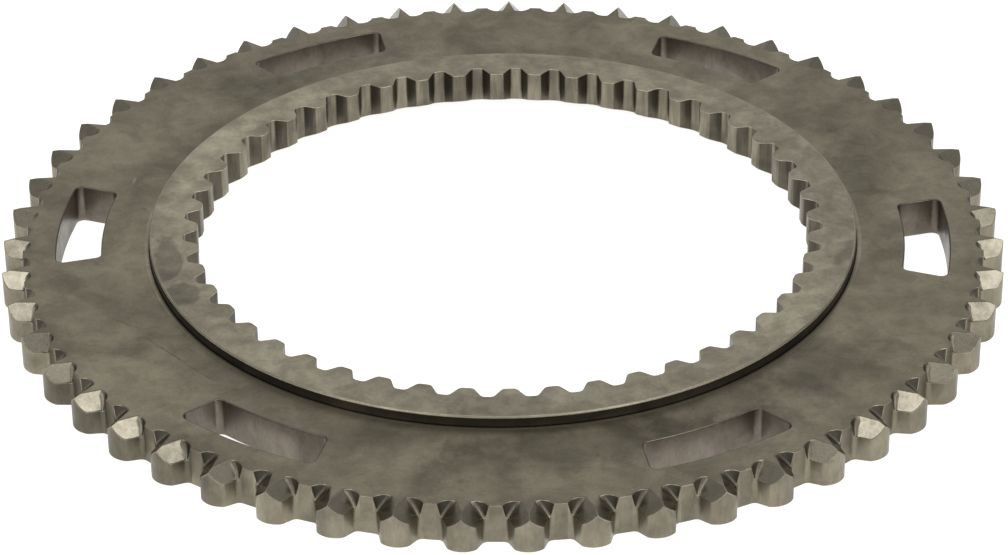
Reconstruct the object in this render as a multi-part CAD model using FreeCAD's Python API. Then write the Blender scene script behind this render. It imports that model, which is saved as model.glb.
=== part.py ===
import FreeCAD, Part
import math
import os
from FreeCAD import Placement, Rotation, Vector

# Outer ring of a synchronizer, one steel piece, in millimetres.
# The axis is Z and the flat underside lies on z = 0. A dog tooth, a drive
# window and a spline space are all centred on the +X direction.

# Inner spline
SPLINE_COUNT = 48
SPLINE_PITCH_DIAMETER = 120.0
SPLINE_SPACE_WIDTH = 4.3
SPLINE_TOOTH_HEIGHT = 0.8
SPLINE_SPACE_DEPTH = 1.9
SPLINE_FLANK_ANGLE = 30.0

# Collar round the spline
COLLAR_WALL = 6.6
COLLAR_RISE = 2.2
COUNTERBORE_STEP = 3.3
COUNTERBORE_DEPTH = 4.25

# Flat rim and its drive windows
RIM_THICKNESS = 8.0
WEB_WIDTH = 9.4
WINDOW_COUNT = 6
WINDOW_WIDTH = 8.6
WINDOW_LENGTH = 27.4
WINDOW_SIDE_ANGLE = 17.5
WINDOW_CORNER_RADIUS = 1.5
RIM_BAND = 6.5

# Dog teeth
DOG_COUNT = 51
DOG_HEIGHT = 4.0
DOG_THICKNESS = 5.9
DOG_GAUGE_HEIGHT = 2.0
DOG_FLANK_ANGLE = 20.0
DOG_CROWN_RADIUS = 3.7
DOG_ROOT_FILLET = 1.1
UNDERCUT_WIDTH = 3.1
UNDERCUT_RISE = 0.7

# Roof point of each dog tooth, and the pockets that its cutter leaves in the rim
ROOF_RIDGE_SETBACK = 1.5
ROOF_SIDE_SLOPE = 44.0
ROOF_END_SLOPE = 17.0
POCKET_RADIUS = 2.6
POCKET_SETBACK = 2.72
POCKET_OFFSET = 2.33
POCKET_LEAN = 18.6

# Radii that follow, from the spline outward
SPLINE_TIP_RADIUS = SPLINE_PITCH_DIAMETER / 2 - SPLINE_TOOTH_HEIGHT
SPLINE_ROOT_RADIUS = SPLINE_PITCH_DIAMETER / 2 + SPLINE_SPACE_DEPTH
COUNTERBORE_RADIUS = SPLINE_ROOT_RADIUS + COUNTERBORE_STEP
COLLAR_RADIUS = SPLINE_ROOT_RADIUS + COLLAR_WALL
WINDOW_INNER_RADIUS = COLLAR_RADIUS + WEB_WIDTH
WINDOW_OUTER_RADIUS = WINDOW_INNER_RADIUS + WINDOW_WIDTH
DOG_ROOT_RADIUS = WINDOW_OUTER_RADIUS + RIM_BAND
DOG_TIP_RADIUS = DOG_ROOT_RADIUS + DOG_HEIGHT
COLLAR_TOP = RIM_THICKNESS + COLLAR_RISE

# Cutters start and end this far outside the material
OVERRUN = 2.0

ORIGIN = Vector(0, 0, 0)
AXIS = Vector(0, 0, 1)


def mirrored(point):
    return Vector(point.x, -point.y, point.z)


def turned(point, degrees):
    return Rotation(AXIS, degrees).multVec(point)


def arc(centre, start, end):
    """Shorter arc round centre from start to end."""
    middle = (start - centre) + (end - centre)
    middle.normalize()
    return Part.Arc(start, centre + middle * start.distanceToPoint(centre), end).toShape()


def outer_crossing(point, direction, centre, radius):
    """Where a line, followed along direction, leaves a circle."""
    offset = point - centre
    along = offset.dot(direction)
    return point + direction * (math.sqrt(along ** 2 - offset.dot(offset) + radius ** 2) - along)


def flank_direction(degrees):
    """Outward direction of a tooth's +Y flank, leaning in towards the tooth's middle."""
    slope = math.radians(degrees)
    return Vector(math.cos(slope), -math.sin(slope), 0)


def round_outline(edges, count):
    """Closed wire of one tooth's edges, repeated round the axis."""
    return Part.Wire([edge.rotated(ORIGIN, AXIS, index * 360 / count)
                      for index in range(count) for edge in edges])


def dog_outline():
    """Round-crowned teeth with straight flanks and filleted roots, the first one on +X."""
    outward = flank_direction(DOG_FLANK_ANGLE)
    sideways = AXIS.cross(outward)
    flank = Vector(DOG_ROOT_RADIUS + DOG_GAUGE_HEIGHT, DOG_THICKNESS / 2, 0)
    crown = Vector(DOG_TIP_RADIUS - DOG_CROWN_RADIUS, 0, 0)
    corner = outer_crossing(flank, outward, crown, DOG_CROWN_RADIUS)
    fillet = outer_crossing(flank + sideways * DOG_ROOT_FILLET, outward,
                            ORIGIN, DOG_ROOT_RADIUS + DOG_ROOT_FILLET)
    fillet_top = fillet - sideways * DOG_ROOT_FILLET
    fillet_foot = fillet * (DOG_ROOT_RADIUS / (DOG_ROOT_RADIUS + DOG_ROOT_FILLET))
    next_foot = turned(mirrored(fillet_foot), 360 / DOG_COUNT)
    return round_outline([
        arc(mirrored(fillet), mirrored(fillet_foot), mirrored(fillet_top)),
        Part.makeLine(mirrored(fillet_top), mirrored(corner)),
        arc(crown, mirrored(corner), corner),
        Part.makeLine(corner, fillet_top),
        arc(fillet, fillet_top, fillet_foot),
        Part.makeLine(fillet_foot, next_foot),
    ], DOG_COUNT)


def spline_outline():
    """Straight-flanked spaces between the inner teeth, the first one on +X."""
    outward = flank_direction(SPLINE_FLANK_ANGLE)
    flank = Vector(SPLINE_PITCH_DIAMETER / 2, SPLINE_SPACE_WIDTH / 2, 0)
    tip = outer_crossing(flank, outward, ORIGIN, SPLINE_TIP_RADIUS)
    root = outer_crossing(flank, outward, ORIGIN, SPLINE_ROOT_RADIUS)
    next_tip = turned(mirrored(tip), 360 / SPLINE_COUNT)
    return round_outline([
        Part.makeLine(mirrored(tip), mirrored(root)),
        Part.makeLine(mirrored(root), root),
        Part.makeLine(root, tip),
        Part.makeLine(tip, next_tip),
    ], SPLINE_COUNT)


def prism(wire, bottom, top):
    face = Part.Face(wire)
    face.translate(AXIS * bottom)
    return face.extrude(AXIS * (top - bottom))


def round_pattern(shape, count):
    return [shape.rotated(ORIGIN, AXIS, index * 360 / count) for index in range(count)]


def turned_blank():
    """Turned ring with its collar, its counterbore and the slight cone under the rim's edge."""
    bore_radius = SPLINE_TIP_RADIUS - OVERRUN
    rim_radius = DOG_TIP_RADIUS + OVERRUN
    undercut_start = DOG_TIP_RADIUS - UNDERCUT_WIDTH
    rim_bottom = UNDERCUT_RISE / UNDERCUT_WIDTH * (rim_radius - undercut_start)
    section = [
        (bore_radius, COUNTERBORE_DEPTH),
        (COUNTERBORE_RADIUS, COUNTERBORE_DEPTH),
        (COUNTERBORE_RADIUS, 0),
        (undercut_start, 0),
        (rim_radius, rim_bottom),
        (rim_radius, RIM_THICKNESS),
        (COLLAR_RADIUS, RIM_THICKNESS),
        (COLLAR_RADIUS, COLLAR_TOP),
        (bore_radius, COLLAR_TOP),
    ]
    points = [Vector(radius, 0, height) for radius, height in section]
    face = Part.Face(Part.makePolygon(points + points[:1]))
    return face.revolve(ORIGIN, AXIS, 360)


def window_cutter():
    """One drive window: two arcs round the axis and two flared ends."""
    slope = math.tan(math.radians(WINDOW_SIDE_ANGLE))
    middle_radius = (WINDOW_INNER_RADIUS + WINDOW_OUTER_RADIUS) / 2
    end = Vector(middle_radius, WINDOW_LENGTH / 2, 0)
    outward = Vector(1, slope, 0)
    outward.normalize()
    inner = outer_crossing(end, outward, ORIGIN, WINDOW_INNER_RADIUS)
    outer = outer_crossing(end, outward, ORIGIN, WINDOW_OUTER_RADIUS)
    wire = Part.Wire([
        arc(ORIGIN, mirrored(inner), inner),
        Part.makeLine(inner, outer),
        arc(ORIGIN, outer, mirrored(outer)),
        Part.makeLine(mirrored(outer), mirrored(inner)),
    ])
    cutter = prism(wire, -OVERRUN, RIM_THICKNESS + OVERRUN)
    corners = [edge for edge in cutter.Edges if edge.Curve.TypeId == "Part::GeomLine"
               and abs(edge.tangentAt(edge.FirstParameter).z) > 0.9]
    return cutter.makeFillet(WINDOW_CORNER_RADIUS, corners)


def pocket_slot():
    """Slot with a round inner end, leaning outward on its way down."""
    centre = Vector(DOG_TIP_RADIUS - POCKET_SETBACK, POCKET_OFFSET, RIM_THICKNESS)
    reach = Vector(RIM_THICKNESS, 0, 0)
    half_width = Vector(0, POCKET_RADIUS, 0)
    near = centre - half_width
    far = centre + half_width
    outline = Part.Wire([
        Part.Arc(near, centre - Vector(POCKET_RADIUS, 0, 0), far).toShape(),
        Part.makeLine(far, far + reach),
        Part.makeLine(far + reach, near + reach),
        Part.makeLine(near + reach, near),
    ])
    slot = Part.Face(outline).extrude(AXIS * -(RIM_THICKNESS + 2 * OVERRUN))
    slot.translate(AXIS * OVERRUN)
    return slot.rotated(centre, Vector(0, 1, 0), -POCKET_LEAN)


def roof_cutter():
    """Cuts both roof planes of the first dog tooth and the pockets beside it."""
    ridge_start = Vector(DOG_TIP_RADIUS - ROOF_RIDGE_SETBACK, 0, RIM_THICKNESS)
    roof_normal = Vector(math.tan(math.radians(ROOF_END_SLOPE)),
                         math.tan(math.radians(ROOF_SIDE_SLOPE)), 1)
    size = 2 * DOG_TIP_RADIUS
    below_roof = Part.makeBox(size, size, size, Vector(-size / 2, -size / 2, -size))
    below_roof.Placement = Placement(ridge_start, Rotation(AXIS, roof_normal))
    one_side = pocket_slot().cut(below_roof)
    return one_side.fuse(one_side.mirror(ORIGIN, Vector(0, 1, 0)))


def synchronizer_ring():
    ring = turned_blank().common(prism(dog_outline(), -OVERRUN, COLLAR_TOP + OVERRUN))
    ring = ring.cut(round_pattern(roof_cutter(), DOG_COUNT))
    ring = ring.cut(round_pattern(window_cutter(), WINDOW_COUNT))
    ring = ring.cut(prism(spline_outline(), -OVERRUN, COLLAR_TOP + OVERRUN))
    return ring.Solids[0]


os.makedirs("parts", exist_ok=True)
synchronizer_ring().exportStep("parts/synchronizer_ring.step")
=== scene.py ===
import math

import bmesh
import bpy
import numpy as np
from mathutils import Matrix, Vector
from mathutils.geometry import delaunay_2d_cdt


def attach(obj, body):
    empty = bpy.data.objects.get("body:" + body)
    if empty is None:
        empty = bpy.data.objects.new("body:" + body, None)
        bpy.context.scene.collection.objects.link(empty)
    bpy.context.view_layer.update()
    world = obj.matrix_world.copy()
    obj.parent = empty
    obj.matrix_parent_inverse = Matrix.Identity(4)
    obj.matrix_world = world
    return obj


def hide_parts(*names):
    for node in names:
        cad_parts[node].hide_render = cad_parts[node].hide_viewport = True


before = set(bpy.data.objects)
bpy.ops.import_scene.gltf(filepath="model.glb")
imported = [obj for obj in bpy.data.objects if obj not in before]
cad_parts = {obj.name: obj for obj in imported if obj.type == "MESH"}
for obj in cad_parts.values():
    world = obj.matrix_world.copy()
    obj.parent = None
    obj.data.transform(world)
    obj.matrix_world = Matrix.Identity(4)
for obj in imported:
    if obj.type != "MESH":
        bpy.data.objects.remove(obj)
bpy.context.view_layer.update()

# The ring is built here in millimetres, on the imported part's axis, with a dog
# tooth, a drive window and a spline space centred on +X. Plan points are
# complex numbers: x + y j.

MM = 0.001

# Heights
WEB_TOP = 8.0
COLLAR_TOP = 10.2

# Inner spline
SPLINE_COUNT = 48
SPLINE_TIP = 59.2
SPLINE_ROOT = 61.9
SPLINE_PITCH = 60.0
SPLINE_SPACE = 4.3
SPLINE_FLANK = math.radians(30.0)
SPLINE_ROOT_FILLET = 1.0
SPLINE_TIP_ROUND = 1.1
FLANK_MARGIN = 0.35

# Collar, the fine lip round its foot, and the cone that opens the bore on the underside
COLLAR_RADIUS = 68.5
COLLAR_CHAMFER = 0.26
LIP_START = 68.75
LIP_CREST = 69.05
LIP_END = 69.5
LIP_RISE = 0.045
COLLAR_FOOT = 70.5
CONE_FOOT = 67.6
CONE_SLOPE = math.tan(math.radians(26.0))
UNDERSIDE_FOOT = 69.0

# Drive windows
WINDOW_COUNT = 6
WINDOW_INNER = 77.9
WINDOW_OUTER = 86.5
WINDOW_LENGTH = 27.4
WINDOW_SIDE = math.radians(17.5)
WINDOW_CORNER = 1.3

# Dog teeth, their roof planes and the pockets beside them
DOG_COUNT = 51
DOG_BAND = 90.6
DOG_ROOT = 93.0
DOG_TIP = 97.0
DOG_GAUGE = 95.0
DOG_THICKNESS = 5.9
DOG_FLANK = math.radians(20.0)
DOG_CROWN = 3.7
DOG_CORNER = 1.2
DOG_FILLET = 1.1
UNDERCUT_START = 91.7
UNDERCUT_SLOPE = 0.7 / (DOG_TIP - UNDERCUT_START)
RIDGE_START = DOG_TIP - 1.5
ROOF_SIDE = math.tan(math.radians(44.0))
ROOF_END = math.tan(math.radians(17.0))
POCKET_RADIUS = 2.6
POCKET_X = DOG_TIP - 2.72
POCKET_Y = 2.33
POCKET_LEAN = math.radians(18.6)
POCKET_FILLET = 1.7
POCKET_FILLET_RAMP = 0.6

# Steps of the outlines
CROWN_STEPS = 9
CORNER_STEPS = 3
FLANK_STEPS = 5
FILLET_STEPS = 7
VALLEY_STEPS = 4
POCKET_ROWS = 4
BAND_STEPS = 4
SPLINE_LAND_STEPS = 2
SPLINE_ROUND_STEPS = 4
SPLINE_FLANK_STEPS = 3
WINDOW_ARC_STEPS = 8
WINDOW_CORNER_STEPS = 5
WINDOW_EDGE_STEPS = 3

# Edge rounding
DOG_EDGE = 0.16
COLLAR_EDGE = 0.13
WINDOW_EDGE = 0.25
WINDOW_FOOT_EDGE = 0.7
BEVEL_ANGLE = math.radians(30.0)
BEVEL_SEGMENTS = 2
SHARP_CORNER = math.radians(50.0)
FACE_AREA_WEIGHT = 100

# Distances within which points count as one, and the digits that are kept
POINT_WELD = 0.001
SHELL_WELD = 0.002
BEVEL_WELD = 0.01
TINY = 1e-6
PLACE_DIGITS = 4
COLUMN_DIGITS = 5
BISECTIONS = 60

# Finishes, in the order of the mesh's material slots
(WEB, COLLAR, GROUND, WALL, RECESS, EDGE, POCKET, SPLINE, FLANK, CROWN, VALLEY, FILLET, LIP,
 RIDGE) = range(14)

# Steel's clouds, wisps, dark spots and grain: noise scales per metre, spans of the noise, shades
CLOUD_SPAN = (0.32, 0.68)
WISP_SPAN = (0.30, 0.70)
WISP_SHADE = 0.14
SPOT_SCALE = 420.0
SPOT_SPAN = (0.24, 0.34)
SPOT_SHADE = 0.86
GRAIN_SCALE = 1900.0
GRAIN_SPAN = (0.25, 0.75)
GRAIN_SHADE = 0.07
GLOSS_SPAN = (0.3, 0.7)
GLOSS_CHANGE = 0.04
BUMP_STRENGTH = 0.25
BUMP_DISTANCE = 0.00006

# Stains, scratches and lighter and darker patches in the steel's colour; on the web, the dark patches
# just outside the collar's foot are painted shade. Each is place, half length, half width, turn in
# degrees, raggedness, core and shade
WEB_MARKS_AND_PAINTED_SHADE = (
    (62.0, -46.5, 21.0, 10.0, 48.0, 0.30, 0.35, 0.74),
    # The dark patches here and in the next row, just outside the collar's foot, are painted shade.
    (20.0, -73.0, 36.0, 9.0, 15.0, 0.30, 0.35, 0.66),
    (-22.0, -71.0, 24.0, 5.5, -17.0, 0.30, 0.30, 0.76),
    (-56.3, 52.9, 17.0, 8.0, 48.0, 0.35, 0.35, 0.80),
    (61.0, 49.0, 15.0, 7.0, -52.0, 0.35, 0.35, 0.90),
    (-64.0, -58.0, 20.0, 9.0, -44.0, 0.40, 0.35, 1.16),
    # The dark patches here and in the next row, just outside the collar's foot, are painted shade.
    (71.0, 12.0, 30.0, 6.0, 100.0, 0.35, 0.35, 0.76),
    (40.0, -61.5, 24.0, 5.0, 33.0, 0.30, 0.35, 0.78),
    (-32.0, 72.0, 17.0, 6.0, 24.0, 0.35, 0.35, 0.84),
    (-57.7, -47.8, 11.5, 0.22, -45.4, 0.45, 0.35, 0.60),
    (-69.0, -36.0, 5.5, 0.16, -30.0, 0.45, 0.35, 0.78),
    (-74.2, 17.0, 2.2, 0.45, 85.0, 0.30, 0.35, 1.55),
)
COLLAR_MARKS = (
    (-63.0, -8.0, 26.0, 7.0, 82.0, 0.25, 0.35, 1.16),
    (-63.6, -16.5, 8.6, 2.7, -83.0, 0.24, 0.88, 0.62),
    (-59.3, -28.4, 3.8, 2.9, -58.0, 0.26, 0.88, 0.66),
    (66.0, -10.5, 4.4, 1.8, 72.0, 0.35, 0.60, 0.74),
    (-59.5, 24.0, 16.0, 5.0, 66.0, 0.30, 0.35, 1.30),
    (-35.0, -53.0, 16.0, 5.0, -34.0, 0.30, 0.35, 1.16),
    (-46.0, 46.0, 16.0, 6.0, 45.0, 0.30, 0.35, 1.20),
    (55.5, -30.0, 15.0, 5.0, 62.0, 0.30, 0.35, 1.35),
    (2.0, -65.2, 16.0, 5.0, 0.0, 0.30, 0.35, 0.78),
)
CROWN_MARKS = (
    (-67.4, -69.8, 30.0, 12.0, -44.0, 0.20, 0.60, 0.62),
)
MARK_SCALE = 170.0
MARK_SPAN = (0.3, 0.7)
MARK_END = 1.15

# Floor, in metres
FLOOR_RADIUS = 4.0
FLOOR_SIDES = 96
FLOOR_GAP = 0.00005
FLOOR_SHADE = 0.45
FLOOR_GLOW = 0.92

# Camera, worked out from the circles in the photograph of 1008 by 555
IMAGE_WIDTH = 1008
CAMERA_FOCUS = 3851.23
CAMERA_PLACE = Vector((0.0322, -0.64135, 0.39399))
CAMERA_ELEVATION = math.radians(31.7114)
CAMERA_TURN = math.radians(2.8618)
CAMERA_ROLL = math.radians(-0.62)
SENSOR = 36.0

# Light: softboxes with their places, widths and heights in metres, all aimed at the ring
SOFTBOXES = (
    ("softbox_left", (-0.612, -0.774, 1.15), 0.6, 1.0),
    ("softbox_right", (0.682, -0.689, 1.15), 0.82, 1.0),
)
SOFTBOX_RADIANCE = 2.4
WORLD_SHADE = 0.42


def outer_crossing(point, direction, centre, radius):
    """Where a plan line, followed along direction, leaves a circle."""
    offset = point - centre
    along = (offset * direction.conjugate()).real
    return point + direction * (math.sqrt(along ** 2 - abs(offset) ** 2 + radius ** 2) - along)


def arc(centre, start, end, steps):
    """Plan points on the shorter arc round centre, both ends included."""
    first = start - centre
    turn = (end - centre) / first
    angle = math.atan2(turn.imag, turn.real)
    radius_change = abs(turn) - 1
    return [centre + first * complex(math.cos(angle * k / steps), math.sin(angle * k / steps))
            * (1 + radius_change * k / steps) for k in range(steps + 1)]


def line(start, end, steps):
    """Plan points on a straight line, both ends included."""
    return [start + (end - start) * k / steps for k in range(steps + 1)]


def flank_frame(slope):
    """Outward direction along a +Y flank and the direction out of it."""
    return complex(math.cos(slope), -math.sin(slope)), complex(math.sin(slope), math.cos(slope))


def turned_points(points, angle):
    cosine, sine = math.cos(angle), math.sin(angle)
    return [(x * cosine - y * sine, x * sine + y * cosine, z) for x, y, z in points]


def solve(function, low, high):
    """Root of a function that changes sign once between low and high."""
    start = function(low)
    for _ in range(BISECTIONS):
        middle = (low + high) / 2
        if (function(middle) > 0) == (start > 0):
            low = middle
        else:
            high = middle
    return (low + high) / 2


class Shell:
    """Mesh under construction, with its points in millimetres and shared by place."""

    def __init__(self):
        self.mesh = bmesh.new()
        self.points = {}

    def vertex(self, point):
        key = tuple(round(value, PLACE_DIGITS) + 0.0 for value in point)
        if key not in self.points:
            self.points[key] = self.mesh.verts.new(point)
        return self.points[key]

    def face(self, points, finish):
        corners = []
        for vertex in map(self.vertex, points):
            if vertex not in corners:
                corners.append(vertex)
        if len(corners) > 2 and not self.mesh.faces.get(corners):
            self.mesh.faces.new(corners).material_index = finish

    def round_edges(self, width, finish):
        bmesh.ops.remove_doubles(self.mesh, verts=self.mesh.verts, dist=POINT_WELD)
        bmesh.ops.recalc_face_normals(self.mesh, faces=self.mesh.faces)
        sharp = [edge for edge in self.mesh.edges
                 if len(edge.link_faces) == 2 and edge.calc_face_angle() > BEVEL_ANGLE]
        bmesh.ops.bevel(self.mesh, geom=sharp, offset=width, offset_type="OFFSET",
                        segments=BEVEL_SEGMENTS, profile=0.5, affect="EDGES", material=finish,
                        clamp_overlap=False, miter_outer="SHARP", loop_slide=True)
        bmesh.ops.remove_doubles(self.mesh, verts=self.mesh.verts, dist=BEVEL_WELD)


def dog_profile():
    """Plan outline of half a dog tooth, crown to valley: its y values and a function x(y)."""
    outward, sideways = flank_frame(DOG_FLANK)
    flank = complex(DOG_GAUGE, DOG_THICKNESS / 2)
    crown = complex(DOG_TIP - DOG_CROWN, 0)
    corner = outer_crossing(flank - sideways * DOG_CORNER, outward, crown, DOG_CROWN - DOG_CORNER)
    corner_top = crown + (corner - crown) * DOG_CROWN / (DOG_CROWN - DOG_CORNER)
    corner_side = corner + sideways * DOG_CORNER
    fillet = outer_crossing(flank + sideways * DOG_FILLET, outward, 0, DOG_ROOT + DOG_FILLET)
    fillet_top = fillet - sideways * DOG_FILLET
    fillet_foot = fillet * DOG_ROOT / (DOG_ROOT + DOG_FILLET)
    half_pitch = math.pi / DOG_COUNT
    valley = DOG_ROOT * complex(math.cos(half_pitch), math.sin(half_pitch))

    def x_at(y):
        if y < corner_top.imag:
            return crown.real + math.sqrt(DOG_CROWN ** 2 - y ** 2)
        if y < corner_side.imag:
            return corner.real + math.sqrt(DOG_CORNER ** 2 - (y - corner.imag) ** 2)
        if y < fillet_top.imag:
            return flank.real + (flank.imag - y) / math.tan(DOG_FLANK)
        if y < fillet_foot.imag:
            return fillet.real - math.sqrt(max(0.0, DOG_FILLET ** 2 - (y - fillet.imag) ** 2))
        return math.sqrt(DOG_ROOT ** 2 - y ** 2)

    points = (arc(crown, complex(DOG_TIP, 0), corner_top, CROWN_STEPS)
              + arc(corner, corner_top, corner_side, CORNER_STEPS)
              + line(corner_side, fillet_top, FLANK_STEPS)
              + arc(fillet, fillet_top, fillet_foot, FILLET_STEPS)
              + arc(0, fillet_foot, valley, VALLEY_STEPS))
    return [point.imag for point in points], x_at


def pocket_start(y):
    """x where the pocket's end wall meets the web's top."""
    reach = math.sqrt(max(0.0, POCKET_RADIUS ** 2 - (y - POCKET_Y) ** 2))
    return POCKET_X - reach / math.cos(POCKET_LEAN)


def roof_height(x, y):
    return WEB_TOP - ROOF_SIDE * y - ROOF_END * (x - RIDGE_START)


def pocket_section(y, fillet):
    """Section of a pocket at one y: (x, z) from the web down the wall and round to the roof."""
    lean = math.tan(POCKET_LEAN)
    start = pocket_start(y)
    wall = np.array([lean, -1.0]) / math.hypot(lean, 1)
    roof = np.array([1.0, -ROOF_END]) / math.hypot(1, ROOF_END)
    drop = (WEB_TOP - roof_height(start, y)) / (1 - ROOF_END * lean)
    foot = np.array([start + lean * drop, WEB_TOP - drop])
    turn = math.acos(wall @ roof)
    reach = fillet * math.tan(turn / 2)
    top = foot - reach * wall
    centre = top + fillet * np.array([-wall[1], wall[0]])
    first = math.atan2(*(top - centre)[::-1])
    begin = 0.0
    if top[1] > WEB_TOP and fillet > 0:
        begin = solve(lambda share: centre[1] + fillet * math.sin(first + turn * share) - WEB_TOP, 0, 1)
        start = centre[0] + fillet * math.cos(first + turn * begin)
    section = [(start, WEB_TOP)]
    for step in range(POCKET_ROWS + 1):
        angle = first + turn * (begin + (1 - begin) * step / POCKET_ROWS)
        section.append((centre[0] + fillet * math.cos(angle), centre[1] + fillet * math.sin(angle)))
    return section


def section_height(section, x, y):
    """Height of a pocket's surface at x."""
    for (x0, z0), (x1, z1) in zip(section, section[1:]):
        if x0 <= x <= x1 and x1 > x0:
            return z0 + (z1 - z0) * (x - x0) / (x1 - x0)
    return WEB_TOP if x < section[0][0] else min(WEB_TOP, roof_height(x, y))


def underside(x, y):
    """Height of the underside: flat, with a slight cone under the teeth."""
    return UNDERCUT_SLOPE * max(0.0, math.hypot(x, y) - UNDERCUT_START)


def half_tooth():
    """Columns of half a dog tooth: each is (y, outline x, outline top z, pocket points)."""
    ys, x_at = dog_profile()
    land_end = solve(lambda y: roof_height(pocket_start(y), y) - WEB_TOP, 0.0, POCKET_Y)
    pocket_end = solve(lambda y: pocket_start(y) - x_at(y), POCKET_Y, POCKET_Y + POCKET_RADIUS)
    first_y, last_y = round(land_end, COLUMN_DIGITS), round(pocket_end, COLUMN_DIGITS)
    columns = []
    for y in sorted({round(y, COLUMN_DIGITS) for y in ys} | {first_y, last_y}):
        x = x_at(y)
        if y < first_y:
            columns.append((y, x, min(WEB_TOP, roof_height(x, y)), None))
        elif y > last_y:
            columns.append((y, x, WEB_TOP, None))
        else:
            share = min(1.0, (y - land_end) / POCKET_FILLET_RAMP)
            section = pocket_section(y, POCKET_FILLET * share * share * (3 - 2 * share) + TINY)
            top = section_height(section, x, y)
            pocket = [(px, y, pz) if px < x else (x, y, top) for px, pz in section]
            columns.append((y, x, top, pocket))
    return columns


def dog_faces():
    """Polygons of one dog tooth, with its share of the web's top and underside."""
    columns = half_tooth()
    tops = [(x, y, top) for y, x, top, _ in columns]
    feet = [(x, y, underside(x, y)) for y, x, _, _ in columns]
    in_pocket = [k for k, column in enumerate(columns) if column[3]]
    first, last = in_pocket[0], in_pocket[-1]
    open_columns = [k for k in in_pocket if columns[k][3][-1][0] < columns[k][1] - TINY]
    meet = open_columns[-1] + 1
    ridge = (RIDGE_START, 0.0, WEB_TOP)
    half = []
    for k in range(len(columns) - 1):
        finish = CROWN if k < len(columns) - 1 - VALLEY_STEPS else VALLEY
        half.append((finish, [feet[k], feet[k + 1], tops[k + 1], tops[k]]))
    for k in range(first, last):
        here, there = columns[k][3], columns[k + 1][3]
        for row in range(len(here) - 1):
            # A pocket's first row, its end wall, takes the darker pocket colour: painted shade.
            finish = POCKET if row == 0 else FILLET
            half.append((finish, [here[row], here[row + 1], there[row + 1], there[row]]))
    roof = [ridge] + tops[:meet + 1] + [columns[k][3][-1] for k in reversed(open_columns)]
    half.append((GROUND, roof))
    mirror = [(finish, [(x, -y, z) for x, y, z in face]) for finish, face in half]

    half_pitch = math.pi / DOG_COUNT
    ways = [(math.cos(half_pitch * k / BAND_STEPS), math.sin(half_pitch * k / BAND_STEPS))
            for k in range(BAND_STEPS, -BAND_STEPS - 1, -1)]
    band = [(DOG_BAND * x, DOG_BAND * y) for x, y in ways]
    fold = [(UNDERCUT_START * x, UNDERCUT_START * y, 0.0) for x, y in ways]
    web_half = tops[:last:-1] + [columns[k][3][0] for k in range(last, first - 1, -1)]
    web = web_half + [ridge] + [(x, -y, z) for x, y, z in reversed(web_half)]
    web += [(x, y, WEB_TOP) for x, y in reversed(band)]
    under = feet[::-1] + [(x, -y, z) for x, y, z in feet[1:]] + fold[::-1]
    flat = fold + [(x, y, 0.0) for x, y in reversed(band)]
    return half + mirror + [(WEB, web), (WEB, under), (WEB, flat)]


def add_dog_teeth(shell):
    faces = dog_faces()
    for index in range(DOG_COUNT):
        angle = 2 * math.pi * index / DOG_COUNT
        for finish, points in faces:
            shell.face(turned_points(points, angle), finish)


def spline_loop():
    """Plan outline of the splined hole, as points round the axis."""
    outward, sideways = flank_frame(SPLINE_FLANK)
    flank = complex(SPLINE_PITCH, SPLINE_SPACE / 2)
    root = outer_crossing(flank - sideways * SPLINE_ROOT_FILLET, outward, 0,
                          SPLINE_ROOT - SPLINE_ROOT_FILLET)
    root_end = root * SPLINE_ROOT / (SPLINE_ROOT - SPLINE_ROOT_FILLET)
    root_side = root + sideways * SPLINE_ROOT_FILLET
    tip = outer_crossing(flank + sideways * SPLINE_TIP_ROUND, outward, 0,
                         SPLINE_TIP + SPLINE_TIP_ROUND)
    tip_side = tip - sideways * SPLINE_TIP_ROUND
    tip_end = tip * SPLINE_TIP / (SPLINE_TIP + SPLINE_TIP_ROUND)
    half_pitch = math.pi / SPLINE_COUNT
    land = SPLINE_TIP * complex(math.cos(half_pitch), math.sin(half_pitch))
    half = (arc(0, complex(SPLINE_ROOT, 0), root_end, SPLINE_LAND_STEPS)[1:]
            + arc(root, root_end, root_side, SPLINE_ROUND_STEPS)[1:]
            + line(root_side, tip_side, SPLINE_FLANK_STEPS)[1:]
            + arc(tip, tip_side, tip_end, SPLINE_ROUND_STEPS)[1:]
            + arc(0, tip_end, land, SPLINE_LAND_STEPS)[1:])
    space = [point.conjugate() for point in reversed(half[:-1])] + [complex(SPLINE_ROOT, 0)] + half
    turn = 2 * math.pi / SPLINE_COUNT
    return [point * complex(math.cos(turn * index), math.sin(turn * index))
            for index in range(SPLINE_COUNT) for point in space]


def add_rings(shell, rings):
    """Joins each ring of points to the next, in the finish named with the first of the two."""
    for (finish, upper), (_, lower) in zip(rings, rings[1:]):
        for k in range(len(upper)):
            after = (k + 1) % len(upper)
            middle = math.hypot(upper[k][0] + upper[after][0], upper[k][1] + upper[after][1]) / 2
            on_flank = SPLINE_TIP + FLANK_MARGIN < middle < SPLINE_ROOT - FLANK_MARGIN
            # The spline's flanks take a darker colour than its tips and roots: painted shade.
            used = FLANK if finish == SPLINE and on_flank else finish
            shell.face([upper[k], upper[after], lower[after], lower[k]], used)


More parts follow.
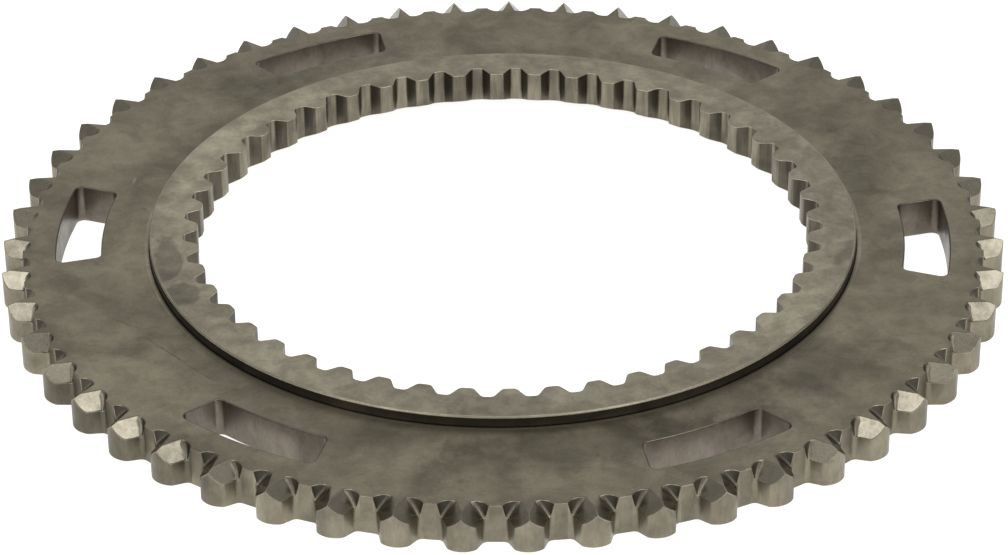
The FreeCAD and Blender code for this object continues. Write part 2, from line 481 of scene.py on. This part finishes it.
def add_collar(hub, web):
    """Collar, splined hole and the cone under it, as rings of points that share their angles."""
    spline = spline_loop()
    directions = [point / abs(point) for point in spline]

    def circle(radius, height):
        return [(way.real * radius, way.imag * radius, height) for way in directions]

    outside = circle(COLLAR_FOOT, WEB_TOP)
    foot = circle(COLLAR_RADIUS, WEB_TOP)
    under = circle(UNDERSIDE_FOOT, 0.0)
    add_rings(web, [
        (WEB, outside),
        # The lip's two slopes are painted lighter than the web: a painted highlight along the lip.
        (LIP, circle(LIP_END, WEB_TOP)),
        (LIP, circle(LIP_CREST, WEB_TOP + LIP_RISE)),
        # The narrow band between the lip and the collar is painted near black: painted shade.
        (RECESS, circle(LIP_START, WEB_TOP)),
        (RECESS, foot),
    ])
    add_rings(hub, [
        # The collar's outer wall is painted near black: painted shade.
        (RECESS, foot),
        (WALL, circle(COLLAR_RADIUS, COLLAR_TOP - COLLAR_CHAMFER)),
        (COLLAR, circle(COLLAR_RADIUS - COLLAR_CHAMFER, COLLAR_TOP)),
        (SPLINE, [(point.real, point.imag, COLLAR_TOP) for point in spline]),
        (WALL, [(point.real, point.imag, CONE_SLOPE * (CONE_FOOT - abs(point))) for point in spline]),
        (WEB, circle(CONE_FOOT, 0.0)),
        (WEB, under),
    ])
    return outside, under


def window_outline():
    """Plan points of one drive window's wall, with their directions into the steel."""
    along = complex(math.cos(WINDOW_SIDE), math.sin(WINDOW_SIDE))
    out_of_side = complex(-math.sin(WINDOW_SIDE), math.cos(WINDOW_SIDE))
    end = complex((WINDOW_INNER + WINDOW_OUTER) / 2, WINDOW_LENGTH / 2)
    inside = end - out_of_side * WINDOW_CORNER
    outer = outer_crossing(inside, along, 0, WINDOW_OUTER - WINDOW_CORNER)
    inner = outer_crossing(inside, along, 0, WINDOW_INNER + WINDOW_CORNER)
    outer_end = outer * WINDOW_OUTER / (WINDOW_OUTER - WINDOW_CORNER)
    inner_end = inner * WINDOW_INNER / (WINDOW_INNER + WINDOW_CORNER)
    half = []
    for point in arc(0, complex(WINDOW_OUTER, 0), outer_end, WINDOW_ARC_STEPS)[:-1]:
        half.append((point, point / abs(point)))
    for point in arc(outer, outer_end, outer + out_of_side * WINDOW_CORNER, WINDOW_CORNER_STEPS):
        half.append((point, (point - outer) / WINDOW_CORNER))
    for point in arc(inner, inner + out_of_side * WINDOW_CORNER, inner_end, WINDOW_CORNER_STEPS):
        half.append((point, (point - inner) / WINDOW_CORNER))
    for point in arc(0, inner_end, complex(WINDOW_INNER, 0), WINDOW_ARC_STEPS)[1:]:
        half.append((point, -point / abs(point)))
    mirror = [(point.conjugate(), normal.conjugate()) for point, normal in reversed(half[1:-1])]
    return half + mirror


def add_windows(shell):
    """Window walls with rounded edges. Returns the loops they leave in the two flat faces."""
    outline = window_outline()
    quarter = [math.pi / 2 * k / WINDOW_EDGE_STEPS for k in range(WINDOW_EDGE_STEPS + 1)]
    levels = [(WINDOW_FOOT_EDGE * (1 - math.sin(angle)), WINDOW_FOOT_EDGE * (1 - math.cos(angle)))
              for angle in quarter]
    levels += [(WINDOW_EDGE * (1 - math.sin(angle)), WEB_TOP - WINDOW_EDGE * (1 - math.cos(angle)))
               for angle in reversed(quarter)]
    loops = []
    for index in range(WINDOW_COUNT):
        turn = 2 * math.pi * index / WINDOW_COUNT
        rings = [turned_points([((point + normal * spread).real, (point + normal * spread).imag, height)
                                for point, normal in outline], turn)
                 for spread, height in levels]
        for lower, upper in zip(rings, rings[1:]):
            for k in range(len(outline)):
                after = (k + 1) % len(outline)
                shell.face([lower[k], lower[after], upper[after], upper[k]], WALL)
        loops.append((rings[0], rings[-1]))
    return loops


def inside_loop(point, loop):
    """Whether a plan point lies inside a closed loop of points."""
    x, y = point
    hit = False
    for (x0, y0, _), (x1, y1, _) in zip(loop, loop[1:] + loop[:1]):
        if (y0 > y) != (y1 > y) and x < x0 + (x1 - x0) * (y - y0) / (y1 - y0):
            hit = not hit
    return hit


def add_flat(shell, outer, inner, holes, height):
    """Fills a flat face between an outer loop, an inner loop and some holes."""
    points, edges = [], []
    for loop in [outer, inner] + holes:
        base = len(points)
        points += [Vector((x, y)) for x, y, _ in loop]
        edges += [(base + k, base + (k + 1) % len(loop)) for k in range(len(loop))]
    verts, _, faces, _, _, _ = delaunay_2d_cdt(points, edges, [], 0, TINY)
    inner_radius = math.hypot(*inner[0][:2])
    for face in faces:
        corners = [(verts[k].x, verts[k].y, height) for k in face]
        middle = (sum(x for x, _, _ in corners) / 3, sum(y for _, y, _ in corners) / 3)
        near = [hole for hole in holes if math.dist(middle, hole[0][:2]) < 2 * WINDOW_LENGTH]
        in_ring = inner_radius < math.hypot(*middle) < DOG_BAND
        if in_ring and not any(inside_loop(middle, hole) for hole in near):
            shell.face(corners, WEB)


def build_ring():
    teeth, hub, web = Shell(), Shell(), Shell()
    add_dog_teeth(teeth)
    teeth.round_edges(DOG_EDGE, EDGE)
    top_loop, under_loop = add_collar(hub, web)
    hub.round_edges(COLLAR_EDGE, RIDGE)
    windows = add_windows(web)
    angles = [math.pi * k / (BAND_STEPS * DOG_COUNT) for k in range(2 * BAND_STEPS * DOG_COUNT)]
    band = [(DOG_BAND * math.cos(angle), DOG_BAND * math.sin(angle), 0.0) for angle in angles]
    add_flat(web, band, top_loop, [top for _, top in windows], WEB_TOP)
    add_flat(web, band, under_loop, [under for under, _ in windows], 0.0)

    mesh = bpy.data.meshes.new("synchronizer_ring_body")
    whole = bmesh.new()
    for shell in (teeth, hub, web):
        shell.mesh.to_mesh(mesh)
        whole.from_mesh(mesh)
        shell.mesh.free()
    bmesh.ops.remove_doubles(whole, verts=whole.verts, dist=SHELL_WELD)
    bmesh.ops.dissolve_degenerate(whole, dist=POINT_WELD, edges=whole.edges)
    bmesh.ops.recalc_face_normals(whole, faces=whole.faces)
    bmesh.ops.scale(whole, vec=(MM, MM, MM), verts=whole.verts)
    for face in whole.faces:
        face.smooth = True
    for edge in whole.edges:
        edge.smooth = edge.calc_face_angle(0.0) < SHARP_CORNER
    whole.to_mesh(mesh)
    whole.free()
    return mesh


class Nodes:
    """Short forms for adding nodes to one material."""

    def __init__(self, name):
        self.material = bpy.data.materials.new(name)
        self.material.use_nodes = True
        self.tree = self.material.node_tree
        self.tree.nodes.clear()

    def fill(self, socket, value):
        if isinstance(value, bpy.types.NodeSocket):
            self.tree.links.new(value, socket)
        else:
            socket.default_value = value

    def add(self, kind, **inputs):
        node = self.tree.nodes.new(kind)
        for name, value in inputs.items():
            self.fill(node.inputs[name.replace("_", " ")], value)
        return node

    def place(self):
        return self.add("ShaderNodeTexCoord").outputs["Object"]

    def noise(self, vector, scale, detail, roughness, distortion=0.0):
        return self.add("ShaderNodeTexNoise", Vector=vector, Scale=scale, Detail=detail,
                        Roughness=roughness, Distortion=distortion).outputs["Fac"]

    def ramp(self, value, span, to_low=0.0, to_high=1.0):
        """Value carried over smoothly from one span to another."""
        node = self.add("ShaderNodeMapRange", Value=value, From_Min=span[0], From_Max=span[1],
                        To_Min=to_low, To_Max=to_high)
        node.interpolation_type = "SMOOTHSTEP"
        return node.outputs["Result"]

    def blend(self, share, first, second):
        node = self.tree.nodes.new("ShaderNodeMix")
        node.data_type = "RGBA"
        factor, colour_a, colour_b = node.inputs[0], node.inputs[6], node.inputs[7]
        for socket, value in ((factor, share), (colour_a, first), (colour_b, second)):
            self.fill(socket, value)
        return node.outputs[2]

    def math(self, operation, first, second):
        node = self.tree.nodes.new("ShaderNodeMath")
        node.operation = operation
        for socket, value in zip(node.inputs, (first, second)):
            self.fill(socket, value)
        return node.outputs[0]

    def vector_math(self, operation, *values):
        node = self.tree.nodes.new("ShaderNodeVectorMath")
        node.operation = operation
        for socket, value in zip(node.inputs, values):
            self.fill(socket, value)
        return node

    def finish(self, surface):
        output = self.add("ShaderNodeOutputMaterial")
        self.tree.links.new(surface, output.inputs["Surface"])
        return self.material


def mark(nodes, place, spot):
    """Darkening or lightening factor of one mark, a stain, a scratch or a patch (some of them painted
    shade): an ellipse with a soft, uneven outline.
    """
    x, y, length, width, turn, ragged, core, shade = spot
    local = nodes.add("ShaderNodeMapping", Vector=place, Location=(x * MM, y * MM, 0.0),
                      Rotation=(0.0, 0.0, math.radians(turn)), Scale=(length * MM, width * MM, 1.0))
    local.vector_type = "TEXTURE"
    distance = nodes.vector_math("LENGTH", local.outputs["Vector"]).outputs["Value"]
    outline = nodes.ramp(nodes.noise(place, MARK_SCALE, 3.0, 0.6), MARK_SPAN, -ragged, ragged)
    return nodes.ramp(nodes.math("ADD", distance, outline), (core, MARK_END), shade, 1.0)


def steel(name, light, dark, roughness, clouds=40.0, wisps=160.0, contrast=1.0, streak=1.0,
          rub=1.0, marks=()):
    """Bare hardened steel: cloudy colour, small dark spots, uneven gloss and a fine grain."""
    nodes = Nodes(name)
    place = nodes.place()
    drawn = nodes.vector_math("MULTIPLY", place, (1.0, 1.0, streak)).outputs[0]
    cloud = nodes.noise(place, clouds, 4.0, 0.55, 0.9)
    wisp = nodes.noise(drawn, wisps, 5.0, 0.62, 0.4)
    spots = nodes.noise(place, SPOT_SCALE, 2.0, 0.5)
    grain = nodes.noise(drawn, GRAIN_SCALE, 2.0, 0.6)
    base = nodes.blend(nodes.ramp(cloud, CLOUD_SPAN), (*dark, 1.0), (*light, 1.0))
    shade = nodes.ramp(wisp, WISP_SPAN, 1.0 - WISP_SHADE * contrast, 1.0 + WISP_SHADE * contrast)
    shade = nodes.math("MULTIPLY", shade, nodes.ramp(spots, SPOT_SPAN, SPOT_SHADE, 1.0))
    shade = nodes.math("MULTIPLY", shade,
                       nodes.ramp(grain, GRAIN_SPAN, 1.0 - GRAIN_SHADE, 1.0 + GRAIN_SHADE))
    for spot in marks:
        shade = nodes.math("MULTIPLY", shade, mark(nodes, place, spot))
    tinted = nodes.vector_math("SCALE", base)
    nodes.fill(tinted.inputs["Scale"], shade)
    rough = nodes.math("ADD", nodes.ramp(wisp, GLOSS_SPAN, GLOSS_CHANGE, -GLOSS_CHANGE),
                       nodes.ramp(cloud, GLOSS_SPAN, roughness + GLOSS_CHANGE, roughness - GLOSS_CHANGE))
    bump = nodes.add("ShaderNodeBump", Strength=BUMP_STRENGTH * rub, Distance=BUMP_DISTANCE, Height=grain)
    shader = nodes.add("ShaderNodeBsdfPrincipled", Base_Color=tinted.outputs[0], Metallic=1.0,
                       Roughness=rough, Normal=bump.outputs["Normal"])
    return nodes.finish(shader.outputs["BSDF"])


def ring_steels():
    """The ring's materials, in the order of the finishes."""
    steels = {
        # The web's marks include painted shade just outside the collar's foot.
        WEB: steel("ring_steel_web_and_painted_shade", (0.42, 0.381, 0.274), (0.305, 0.273, 0.199), 0.42,
                   contrast=1.2, marks=WEB_MARKS_AND_PAINTED_SHADE),
        COLLAR: steel("ring_steel_collar", (0.575, 0.522, 0.394), (0.445, 0.403, 0.302), 0.38,
                      clouds=60.0, wisps=230.0, contrast=1.4, marks=COLLAR_MARKS),
        GROUND: steel("ring_steel_ground", (0.275, 0.252, 0.197), (0.225, 0.206, 0.159), 0.25,
                      clouds=200.0, wisps=600.0, contrast=0.5, rub=0.08),
        WALL: steel("ring_steel_wall", (0.215, 0.187, 0.151), (0.15, 0.13, 0.105), 0.40,
                    clouds=90.0, wisps=300.0, contrast=0.8, streak=0.45),
        # Near-black steel for the collar's outer wall and the band at its foot: painted shade of a deep
        # recess.
        RECESS: steel("ring_steel_recess_painted_shade", (0.062, 0.054, 0.047), (0.044, 0.039, 0.034), 0.45),
        EDGE: steel("ring_steel_edge", (0.33, 0.303, 0.23), (0.25, 0.228, 0.174), 0.38, clouds=120.0),
        # Darker than the other walls: painted shade on the pockets' end walls.
        POCKET: steel("ring_steel_pocket_painted_shade", (0.13, 0.116, 0.093), (0.09, 0.081, 0.065), 0.42,
                      clouds=120.0),
        SPLINE: steel("ring_steel_spline", (0.23, 0.207, 0.155), (0.14, 0.125, 0.095), 0.38,
                      clouds=70.0, wisps=700.0, contrast=1.5, streak=0.10),
        # Darker than the spline's tips and roots: painted shade on the spline's flanks.
        FLANK: steel("ring_steel_flank_painted_shade", (0.13, 0.115, 0.088), (0.085, 0.075, 0.058), 0.42,
                     clouds=70.0, wisps=700.0, contrast=1.5, streak=0.10),
        CROWN: steel("ring_steel_crown", (0.257, 0.231, 0.17), (0.189, 0.169, 0.128), 0.40,
                     clouds=90.0, wisps=350.0, contrast=0.8, streak=0.3, marks=CROWN_MARKS),
        VALLEY: steel("ring_steel_valley", (0.225, 0.203, 0.151), (0.18, 0.162, 0.122), 0.40,
                      clouds=90.0),
        FILLET: steel("ring_steel_fillet", (0.20, 0.183, 0.14), (0.15, 0.137, 0.105), 0.42,
                      clouds=120.0),
        # Lighter than the web, so that the lip shows as a thin light line: painted highlight.
        LIP: steel("ring_steel_lip_painted_highlight", (0.52, 0.475, 0.357), (0.43, 0.393, 0.296), 0.42, clouds=120.0),
        RIDGE: steel("ring_steel_ridge", (0.56, 0.51, 0.39), (0.44, 0.40, 0.305), 0.40, clouds=120.0),
    }
    return [steels[finish] for finish in sorted(steels)]


def floor_material():
    """Pale floor that is seen white and keeps the ring's shadow."""
    nodes = Nodes("pale_floor")
    diffuse = nodes.add("ShaderNodeBsdfDiffuse", Color=(FLOOR_SHADE, FLOOR_SHADE, FLOOR_SHADE, 1.0))
    path = nodes.add("ShaderNodeLightPath").outputs
    seen = nodes.math("MAXIMUM", path["Is Camera Ray"], path["Is Glossy Ray"])
    seen = nodes.math("MAXIMUM", seen, path["Is Transmission Ray"])
    glow = nodes.add("ShaderNodeEmission", Color=(1.0, 1.0, 1.0, 1.0),
                     Strength=nodes.math("MULTIPLY", seen, FLOOR_GLOW))
    both = nodes.tree.nodes.new("ShaderNodeAddShader")
    nodes.fill(both.inputs[0], diffuse.outputs[0])
    nodes.fill(both.inputs[1], glow.outputs[0])
    return nodes.finish(both.outputs[0])


def add_floor():
    mesh = bpy.data.meshes.new("floor")
    shape = bmesh.new()
    bmesh.ops.create_circle(shape, cap_ends=True, segments=FLOOR_SIDES, radius=FLOOR_RADIUS)
    shape.to_mesh(mesh)
    shape.free()
    floor = bpy.data.objects.new("floor", mesh)
    floor.location.z = -FLOOR_GAP
    bpy.context.scene.collection.objects.link(floor)
    mesh.materials.append(floor_material())


def add_camera():
    data = bpy.data.cameras.new("camera")
    data.sensor_width = SENSOR
    data.lens = SENSOR * CAMERA_FOCUS / IMAGE_WIDTH
    camera = bpy.data.objects.new("camera", data)
    turn = (Matrix.Rotation(CAMERA_TURN, 4, "Z")
            @ Matrix.Rotation(math.pi / 2 - CAMERA_ELEVATION, 4, "X")
            @ Matrix.Rotation(CAMERA_ROLL, 4, "Z"))
    camera.matrix_world = Matrix.Translation(CAMERA_PLACE) @ turn
    bpy.context.scene.collection.objects.link(camera)
    bpy.context.scene.camera = camera


def light_scene():
    world = bpy.data.worlds.new("studio")
    world.use_nodes = True
    background = world.node_tree.nodes["Background"]
    background.inputs["Color"].default_value = (WORLD_SHADE, WORLD_SHADE, WORLD_SHADE, 1.0)
    background.inputs["Strength"].default_value = 1.0
    bpy.context.scene.world = world
    for name, place, width, height in SOFTBOXES:
        data = bpy.data.lights.new(name, "AREA")
        data.shape = "RECTANGLE"
        data.size = width
        data.size_y = height
        data.energy = SOFTBOX_RADIANCE * math.pi * width * height
        lamp = bpy.data.objects.new(name, data)
        lamp.location = place
        lamp.rotation_euler = (-Vector(place)).to_track_quat("-Z", "Y").to_euler()
        bpy.context.scene.collection.objects.link(lamp)
    bpy.context.scene.view_settings.view_transform = "Standard"


ring = bpy.data.objects.new("ring_body", build_ring())
bpy.context.scene.collection.objects.link(ring)
for material in ring_steels():
    ring.data.materials.append(material)
weighted = ring.modifiers.new("weighted_normals", "WEIGHTED_NORMAL")
weighted.weight = FACE_AREA_WEIGHT
weighted.keep_sharp = True
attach(ring, "root")
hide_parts("synchronizer_ring")
add_floor()
add_camera()
light_scene()
